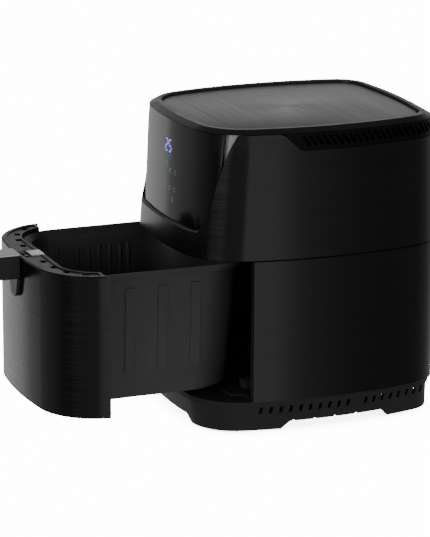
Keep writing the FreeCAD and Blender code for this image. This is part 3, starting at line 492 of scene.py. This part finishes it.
def make_wraps():
    upper = wall("wrap_upper", full_loop(), SEAM_Z, wrap_edge, head, True, rows=24)
    low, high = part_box("rear_outlet")
    ease = Vector((0.4, 0, 0.4)) * MM
    open_window(upper, low - ease, high + ease + Vector((0, 20 * MM, 0)))
    finish_piece(upper, HOUSING, "brushed_wrap", "upper_wrap")
    low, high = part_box("lower_wrap")
    lower = wall("wrap_lower", rear_path(SPLIT_Y), low.z, high.z, upright, False, rows=6)
    finish_piece(lower, HOUSING, "brushed_wrap", "lower_wrap")
    low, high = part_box("drawer_front")
    face_path = front_path(SPLIT_Y - 0.5 * MM)
    face = wall("drawer_face", face_path, low.z, high.z, upright, False, rows=6, shift=OUT)
    finish_piece(face, DRAWER, "brushed_wrap", "drawer_front")


make_wraps()

# ---- top ------------------------------------------------------------------


def make_top():
    z = TOP_Z
    profile = [(0.0, -4.1), (0.15, -3.9), (6.7, -0.25), (7.1, -0.04), (7.6, 0.0),
               (12.5, 0.0), (12.9, -0.15), (13.0, -0.5), (13.0, -3.95),
               (17.9, -3.95), (18.0, -4.1), (18.0, -7.4), (8.9, -7.4), (8.8, -4.1)]
    ring = band("bevel_ring", TOP, [(d * MM, z + h * MM) for d, h in profile], sharp=25.0)
    finish_piece(ring, HOUSING, "top_ring", "top_ring")
    low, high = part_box("lid_plate")
    plan = inset(TOP, 15 * MM)
    plan["c_rear"] = 32 * MM
    ease = 0.35 * MM
    levels = [(0.0, low.z), (0.0, high.z - ease), (0.3 * ease, high.z - 0.3 * ease), (ease, high.z)]
    bm = bmesh.new()
    rows = [[bm.verts.new((*place(inset(plan, d), s), h)) for s in full_loop()] for d, h in levels]
    for a, b in zip(rows, rows[1:]):
        for k in range(len(a)):
            bm.faces.new((a[k], a[(k + 1) % len(a)], b[(k + 1) % len(a)], b[k]))
    bm.faces.new(rows[0][::-1])
    bm.faces.new(rows[-1])
    plate = finish_mesh("lid_fine", bm)
    finish_piece(plate, HOUSING, "lid_plate", "lid_plate")


make_top()

# ---- control panel ---------------------------------------------------------

PANEL_FORM_Z = SEAM_Z + 0.4 * MM                # height from which the panel's form is drawn
PANEL_IN_LOW, PANEL_IN_HIGH, PANEL_IN_TOP = 4.8 * MM, 0.9 * MM, 0.3 * MM
PANEL_GAP = 1.3 * MM                            # between the panel and the opening's edge
PANEL_HALF_TOP = 95.5 * MM
PANEL_TOP_Z = RING_LOW_Z - 0.3 * MM
PANEL_THICK, PANEL_EASE = 2.6 * MM, 0.35 * MM
PANEL_COLUMNS, PANEL_SIDE_ROWS, PANEL_CORNER_ROWS = 72, 40, 10


def panel_plane(station, z, depth):
    """The panel's own curved form: let in at its foot, flush with the ring at its top."""
    if z < VENT_LOW_Z:
        low, high = inset(LOWER, PANEL_IN_LOW), inset(SHOULDER, PANEL_IN_HIGH)
        share = (z - PANEL_FORM_Z) / (VENT_LOW_Z - PANEL_FORM_Z)
    else:
        low, high = inset(SHOULDER, PANEL_IN_HIGH), inset(TOP, PANEL_IN_TOP)
        share = (z - VENT_LOW_Z) / (RING_LOW_Z - VENT_LOW_Z)
    a, b = place(inset(low, depth), station), place(inset(high, depth), station)
    return a.lerp(b, share)


def panel_half(z):
    """Half the panel's width at a height: its side follows the opening, then turns upright."""
    end, end_z = CUT_CORNER[1], CUT_CORNER[2]
    slope = end + (z - end_z) / (CUT_TOP[1] - end_z) * (CUT_TOP[0] - end) - PANEL_GAP
    return min(slope, PANEL_HALF_TOP)


def panel_point(x, z, depth=0.0):
    """Point of the panel's face above a given x, by halving along its outline."""
    flip = -1.0 if x < 0 else 1.0
    lo, hi = 0.0, 2.99
    for _ in range(34):
        mid = (lo + hi) / 2
        p = panel_plane((flip, int(mid), mid - int(mid)), z, depth)
        lo, hi = (mid, hi) if abs(p.x) < abs(x) else (lo, mid)
    return Vector((p.x, p.y, z))


def panel_side():
    """Half widths and heights up the panel's side, from its foot round the corner to its top."""
    foot = CUT_FOOT_Z + PANEL_GAP
    start, _, end_z = CUT_CORNER
    side = []
    for k in range(PANEL_CORNER_ROWS):
        turn = math.pi / 2 * k / PANEL_CORNER_ROWS
        half = start + (panel_half(end_z) - start) * math.sin(turn)
        side.append((half, end_z - (end_z - foot) * math.cos(turn)))
    for k in range(PANEL_SIDE_ROWS + 1):
        z = end_z + (PANEL_TOP_Z - end_z) * k / PANEL_SIDE_ROWS
        side.append((panel_half(z), z))
    return side


def panel_grid(bm, depth, shrink):
    """Rows of points across one face of the panel, its edge drawn in by shrink."""
    grid = []
    for row, (half, z) in enumerate(panel_side()):
        if row == 0:
            z += shrink
        else:
            half -= shrink
        across = [half * (2 * k / PANEL_COLUMNS - 1) for k in range(PANEL_COLUMNS + 1)]
        grid.append([bm.verts.new(panel_point(x, z, depth)) for x in across])
    return grid


def rim_of(grid):
    """The outer points of a grid, once round."""
    return (grid[0] + [row[-1] for row in grid[1:]] + grid[-1][-2::-1]
            + [row[0] for row in grid[-2:0:-1]])


def make_panel():
    bm = bmesh.new()
    face = panel_grid(bm, 0.0, PANEL_EASE)
    edge = panel_grid(bm, PANEL_EASE, 0.0)
    inner = panel_grid(bm, PANEL_THICK, 0.0)
    for grid in (face, inner):
        for a, b in zip(grid, grid[1:]):
            for k in range(PANEL_COLUMNS):
                bm.faces.new((a[k], a[k + 1], b[k + 1], b[k]))
    for outer, deeper in ((face, edge), (edge, inner)):
        a, b = rim_of(outer), rim_of(deeper)
        for k in range(len(a)):
            n = (k + 1) % len(a)
            bm.faces.new((a[k], a[n], b[n], b[k]))
    spare = [vert for row in edge[1:-1] for vert in row[1:-1]]         # only this grid's rim is used
    bmesh.ops.delete(bm, geom=spare, context="VERTS")
    panel = finish_mesh("panel_glass", bm, sharp=40.0)
    finish_piece(panel, HOUSING, "panel_gloss", "control_panel")


def on_panel(name, slot, outlines):
    """Thin lit marks that lie on the panel's face; each outline is a loop of (x, z) in mm."""
    bm = bmesh.new()
    for loop in outlines:
        front = [bm.verts.new(panel_point(x * MM, z * MM, -0.06 * MM)) for x, z in loop]
        back = [bm.verts.new(panel_point(x * MM, z * MM, 0.03 * MM)) for x, z in loop]
        bm.faces.new(front)
        bm.faces.new(back[::-1])
        for k in range(len(loop)):
            n = (k + 1) % len(loop)
            bm.faces.new((front[k], front[n], back[n], back[k]))
    finish_piece(finish_mesh(name, bm), HOUSING, slot)


def bar(x, z, wide, tall):
    """Small lozenge-ended bar centred on a point."""
    nip = 0.45 * min(wide, tall)
    if wide > tall:
        return [(x - wide / 2, z), (x - wide / 2 + nip, z - tall / 2), (x + wide / 2 - nip, z - tall / 2),
                (x + wide / 2, z), (x + wide / 2 - nip, z + tall / 2), (x - wide / 2 + nip, z + tall / 2)]
    return [(x, z - tall / 2), (x + wide / 2, z - tall / 2 + nip), (x + wide / 2, z + tall / 2 - nip),
            (x, z + tall / 2), (x - wide / 2, z + tall / 2 - nip), (x - wide / 2, z - tall / 2 + nip)]


def digit(x, z, lit):
    """Seven-segment figure, 6 by 12 mm, with the named segments lit."""
    spots = {"a": (0, 6, 4.4, 1.3), "g": (0, 0, 4.4, 1.3), "d": (0, -6, 4.4, 1.3), "f": (-2.9, 3, 1.3, 4.8),
             "b": (2.9, 3, 1.3, 4.8), "e": (-2.9, -3, 1.3, 4.8), "c": (2.9, -3, 1.3, 4.8)}
    return [bar(x + spots[k][0], z + spots[k][1], spots[k][2], spots[k][3]) for k in lit]


def ring_mark(x, z, size):
    """Broken ring of short bars."""
    marks = []
    for k in range(6):
        turn = math.pi * k / 3
        marks.append(bar(x + size * math.cos(turn), z + size * math.sin(turn), 1.5, 0.9))
    return marks


FIGURE_Z = 288
MARK_ROWS = ((277, (-10, 12)), (269, (-28, 4)), (263, (14, 26)), (247, (-38, -28, 2)), (245, (14, 25)),
             (234, (-38, -20, 6, 22)))


def make_display():
    figures = digit(1.5, FIGURE_Z, "abged") + digit(10.5, FIGURE_Z, "afgcd")
    on_panel("lit_figures", "display_light", figures)
    marks = []
    for row, (z, places) in enumerate(MARK_ROWS):
        for n, x in enumerate(places):
            if (row + n) % 2:
                marks += ring_mark(x, z, 2.2)
            else:
                marks += [bar(x, z + 1.6, 3.6, 0.9), bar(x, z - 1.6, 3.6, 0.9), bar(x - 2.0, z, 0.9, 2.4)]
    on_panel("touch_marks", "touch_light", marks)


make_panel()
make_display()

# ---- carried moulded parts -------------------------------------------------

EASED = {
    "base_tray": 0.5, "bottom_cover": 0.3, "front_frame": 0.4, "cavity_floor": 0.3, "guide_rails": 0.5,
    "vent_grille": 0.15, "rear_outlet": 0.4, "cord_inlet": 0.5, "panel_frame": 0.3, "drawer_backing": 0.4,
    "drawer_trim": 0.5, "handle_shell": 1.6, "handle_cap": 0.8, "handle_bracket": 0.3, "handle_tongue": 0.5,
    "crisper_plate": 0.2, "cavity_liner": 0.2, "pot": 0.4,
}


def body_of(node):
    for body, nodes in frame["record"]["behaviour"]["bodies"].items():
        if node in nodes:
            return body
    return HOUSING


for node, ease in EASED.items():
    finish_piece(carried(node, ease * MM), body_of(node), SLOT_OF[node])

# ---- ribs inside the pot ---------------------------------------------------

RIB_SECTION = ((-0.4, -2.6), (0.8, -1.7), (1.2, 0.0), (0.8, 1.7), (-0.4, 2.6))
RIB_PLACES = (-126, -114, -91, -79, -67, -55, -43, -34)       # along Y, clear of the plate's bumpers
RIB_FOOT, RIB_TOP, RIB_RISE = 64 * MM, 162 * MM, 4 * MM
RIB_LEVELS = ((RIB_FOOT, 0.0), (RIB_FOOT + RIB_RISE, 1.0), (RIB_TOP - RIB_RISE, 1.0), (RIB_TOP, 0.0))
WALL_IN, WALL_DRAFT = 6.5 * MM, 5 * MM          # inside wall's inset from the rim, and its taper
STEP_Z, WALL_FALL = 176 * MM, 127.5 * MM        # top of the wall, and its height to the floor
RIM_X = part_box("pot")[1].x


def inner_wall(z):
    """Half the pot's width inside at a height."""
    return RIM_X - WALL_IN - WALL_DRAFT * (STEP_Z - z) / WALL_FALL


def rib_point(flip, place_y, out, along, z, proud):
    """Corner of a rib's section; proud fades the rib into the wall at its ends."""
    reach = out if out < 0 else out * proud
    return flip * (inner_wall(z) - reach * MM), (place_y + along) * MM, z


def make_inner_ribs():
    for flip, side in ((-1, "far"), (1, "near")):
        bm = bmesh.new()
        for place_y in RIB_PLACES:
            rings = []
            for z, proud in RIB_LEVELS:
                corners = [rib_point(flip, place_y, out, along, z, proud) for out, along in RIB_SECTION]
                rings.append([bm.verts.new(corner) for corner in corners])
            for a, b in zip(rings, rings[1:]):
                for k in range(len(a)):
                    n = (k + 1) % len(a)
                    bm.faces.new((a[k], a[n], b[n], b[k]))
            bm.faces.new(rings[0])
            bm.faces.new(rings[-1][::-1])
        finish_piece(finish_mesh("pot_ribs_" + side, bm, sharp=50.0), DRAWER, "nonstick")


make_inner_ribs()

# ---- studio ---------------------------------------------------------------


SKY_LOW, SKY_HIGH = 0.8, 0.1        # radiance of the sky near the horizon and overhead
HORIZON, SKY_BASE, SKY_TOP = 0.05, 0.3, 0.6     # sines of elevation where room, sky and overhead meet
WHITE = 15.0                        # radiance that the view shows as white
FLOOR_HALF = 6.0
CONTACT_REACH = 30 * MM             # how far the contact shadow spreads
# brightness of the room by compass direction, in degrees from +X towards +Y
ROOM = ((-180, 0.9), (-157, 0.9), (-155, 0.44), (-144, 0.28), (-125, 0.32), (-103, 0.26), (-85, 0.15),
        (-67, 0.08), (-56, 0.2), (-30, 0.28), (-10, 0.3), (-6, 0.95), (8, 0.85), (10, 0.44), (23, 0.26),
        (32, 0.17), (44, 0.14), (56, 0.2), (75, 0.26), (120, 0.4), (180, 0.7))
ROOM_SCALE = 2.0                    # the ramp holds values from 0 to 1


def make_floor():
    bm = bmesh.new()
    for x, y in ((-1, -1), (1, -1), (1, 1), (-1, 1)):
        bm.verts.new((x * FLOOR_HALF, y * FLOOR_HALF, 0))
    bm.faces.new(bm.verts[:])
    floor = finish_mesh("studio_floor", bm)
    mat = bpy.data.materials.new("studio_floor")
    mat.use_nodes = True
    nodes, links = mat.node_tree.nodes, mat.node_tree.links
    nodes.clear()
    light = nodes.new("ShaderNodeEmission")
    light.inputs["Strength"].default_value = WHITE
    # painted contact shadow: ambient occlusion dims the floor's emission close to the object
    painted_contact_shadow = nodes.new("ShaderNodeAmbientOcclusion")
    painted_contact_shadow.inputs["Distance"].default_value = CONTACT_REACH
    ramp = nodes.new("ShaderNodeValToRGB")
    ramp.color_ramp.elements[0].color = (0.35, 0.35, 0.35, 1)
    ramp.color_ramp.elements[0].position = 0.1
    ramp.color_ramp.elements[1].position = 0.75
    links.new(painted_contact_shadow.outputs["AO"], ramp.inputs["Fac"])
    links.new(ramp.outputs["Color"], light.inputs["Color"])
    sheet = nodes.new("ShaderNodeOutputMaterial")
    links.new(light.outputs["Emission"], sheet.inputs["Surface"])
    floor.data.materials.append(mat)
    floor.visible_diffuse = False
    floor.visible_glossy = False


def make_world():
    """Grey room whose brightness goes by direction; plain white where the camera looks past the object."""
    world = bpy.data.worlds.new("studio")
    bpy.context.scene.world = world
    world.use_nodes = True
    nodes, links = world.node_tree.nodes, world.node_tree.links
    back = nodes["Background"]
    back.inputs["Color"].default_value = (1, 1, 1, 1)

    def maths(kind, *inputs):
        node = nodes.new("ShaderNodeMath")
        node.operation = kind
        for socket, value in zip(node.inputs, inputs):
            if isinstance(value, (int, float)):
                socket.default_value = value
            else:
                links.new(value, socket)
        return node.outputs[0]

    def ranged(value, from_low, from_high, to_low, to_high):
        node = nodes.new("ShaderNodeMapRange")
        numbers = (("From Min", from_low), ("From Max", from_high), ("To Min", to_low), ("To Max", to_high))
        for socket, number in numbers:
            node.inputs[socket].default_value = number
        links.new(value, node.inputs["Value"])
        return node.outputs["Result"]

    split = nodes.new("ShaderNodeSeparateXYZ")
    links.new(nodes.new("ShaderNodeTexCoord").outputs["Generated"], split.inputs[0])
    x, y, z = split.outputs
    turn = maths("ADD", maths("DIVIDE", maths("ARCTAN2", y, x), 2 * math.pi), 0.5)
    ramp = nodes.new("ShaderNodeValToRGB")
    stops = ramp.color_ramp.elements
    for k, (degrees, value) in enumerate(ROOM):
        position = (degrees + 180) / 360
        stop = stops[0] if k == 0 else stops.new(position) if k < len(ROOM) - 1 else stops[-1]
        stop.position = position
        stop.color = (value / ROOM_SCALE, value / ROOM_SCALE, value / ROOM_SCALE, 1)
    links.new(turn, ramp.inputs["Fac"])
    room = maths("MULTIPLY", ramp.outputs["Color"], ROOM_SCALE)
    high = ranged(z, HORIZON, SKY_BASE, 0.0, 1.0)
    sky = maths("MULTIPLY", ranged(z, SKY_BASE, SKY_TOP, SKY_LOW, SKY_HIGH), high)
    around = maths("ADD", maths("MULTIPLY", room, maths("SUBTRACT", 1.0, high)), sky)
    seen = nodes.new("ShaderNodeLightPath").outputs["Is Camera Ray"]
    unseen = maths("MULTIPLY", around, maths("SUBTRACT", 1.0, seen))
    links.new(maths("ADD", maths("MULTIPLY", seen, WHITE), unseen), back.inputs["Strength"])


def make_softbox(name, where, towards, size, power):
    data = bpy.data.lights.new(name, "AREA")
    data.shape = "RECTANGLE"
    data.size, data.size_y = size
    data.energy = power
    lamp = bpy.data.objects.new(name, data)
    bpy.context.scene.collection.objects.link(lamp)
    lamp.location = where
    lamp.rotation_euler = (Vector(towards) - Vector(where)).to_track_quat("-Z", "Y").to_euler()


AZIMUTH, ELEVATION, ROLL = math.radians(68.06), math.radians(15.41), math.radians(0.26)
DISTANCE = 3.005
AIM = Vector((-20.5, 38.4, 143.2)) * MM
LENS = 190.4
KEY_PLACE, KEY_AIM, KEY_SIZE, KEY_POWER = (1.6, -2.6, 0.75), (0, 0.1, 0.15), (1.6, 0.9), 14


def make_camera():
    data = bpy.data.cameras.new("camera")
    data.sensor_width = 36
    data.lens = LENS
    data.clip_end = 50
    camera = bpy.data.objects.new("camera", data)
    bpy.context.scene.collection.objects.link(camera)
    bpy.context.scene.camera = camera
    back = Vector((math.sin(AZIMUTH) * math.cos(ELEVATION), -math.cos(AZIMUTH) * math.cos(ELEVATION),
                   math.sin(ELEVATION)))
    right = Vector((math.cos(AZIMUTH), math.sin(AZIMUTH), 0.0))
    up = back.cross(right)
    tilted = right * math.cos(ROLL) + up * math.sin(ROLL)
    turn = Matrix((tilted, back.cross(tilted), back)).transposed().to_4x4()
    camera.matrix_world = Matrix.Translation(AIM + back * DISTANCE) @ turn


make_floor()
make_world()
make_softbox("key", KEY_PLACE, KEY_AIM, KEY_SIZE, KEY_POWER)
make_camera()
